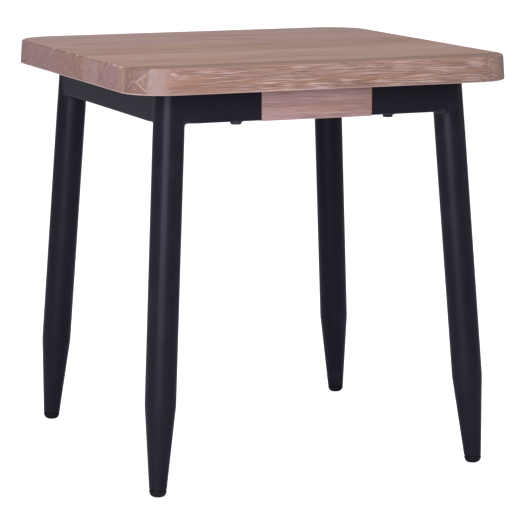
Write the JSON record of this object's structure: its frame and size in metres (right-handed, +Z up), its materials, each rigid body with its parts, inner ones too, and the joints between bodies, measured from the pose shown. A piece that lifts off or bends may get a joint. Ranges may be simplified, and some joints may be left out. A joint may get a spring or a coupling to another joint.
{
  "type": "bistro table",
  "caption": "Square fixed bistro table: rounded solid-wood stave top on a black steel-tube frame with splayed tapered legs and bolted wood rail inserts.",
  "frame": {"origin": "on the floor, under the middle of the top", "axes": "+Z up, -Y to the front (the side with a wood rail insert; the back is the same), +X to the right seen from the front"},
  "size_m": [0.711, 0.711, 0.737],
  "materials": {
    "top_wood": "limed and matt sealed",
    "rail_wood": "limed and matt sealed",
    "frame_steel": "satin black powder coat",
    "bolt_steel": "black zinc",
    "zinc_steel": "bright zinc",
    "foot_plastic": "matt black"
  },
  "bodies": {
    "root": {"corner_gusset_back_left": "frame_steel", "corner_gusset_back_right": "frame_steel", "corner_gusset_front_left": "frame_steel", "corner_gusset_front_right": "frame_steel", "foot_cap_back_left": "foot_plastic", "foot_cap_back_right": "foot_plastic", "foot_cap_front_left": "foot_plastic", "foot_cap_front_right": "foot_plastic", "leg_back_left": "frame_steel", "leg_back_right": "frame_steel", "leg_front_left": "frame_steel", "leg_front_right": "frame_steel", "rail_bolt_back_left": "bolt_steel", "rail_bolt_back_right": "bolt_steel", "rail_bolt_front_left": "bolt_steel", "rail_bolt_front_right": "bolt_steel", "rail_insert_back_left": "zinc_steel", "rail_insert_back_right": "zinc_steel", "rail_insert_front_left": "zinc_steel", "rail_insert_front_right": "zinc_steel", "rail_socket_back_left": "frame_steel", "rail_socket_back_right": "frame_steel", "rail_socket_front_left": "frame_steel", "rail_socket_front_right": "frame_steel", "rail_washer_back_left": "bolt_steel", "rail_washer_back_right": "bolt_steel", "rail_washer_front_left": "bolt_steel", "rail_washer_front_right": "bolt_steel", "side_rail_left": "frame_steel", "side_rail_right": "frame_steel", "top_screw_back_left_a": "zinc_steel", "top_screw_back_left_b": "zinc_steel", "top_screw_back_right_a": "zinc_steel", "top_screw_back_right_b": "zinc_steel", "top_screw_front_left_a": "zinc_steel", "top_screw_front_left_b": "zinc_steel", "top_screw_front_right_a": "zinc_steel", "top_screw_front_right_b": "zinc_steel", "top_stave_1": "top_wood", "top_stave_2": "top_wood", "top_stave_3": "top_wood", "top_stave_4": "top_wood", "top_stave_5": "top_wood", "top_stave_6": "top_wood", "top_stave_7": "top_wood", "top_stave_8": "top_wood", "top_stave_9": "top_wood", "wood_rail_back": "rail_wood", "wood_rail_front": "rail_wood"}
  },
  "joints": []
}
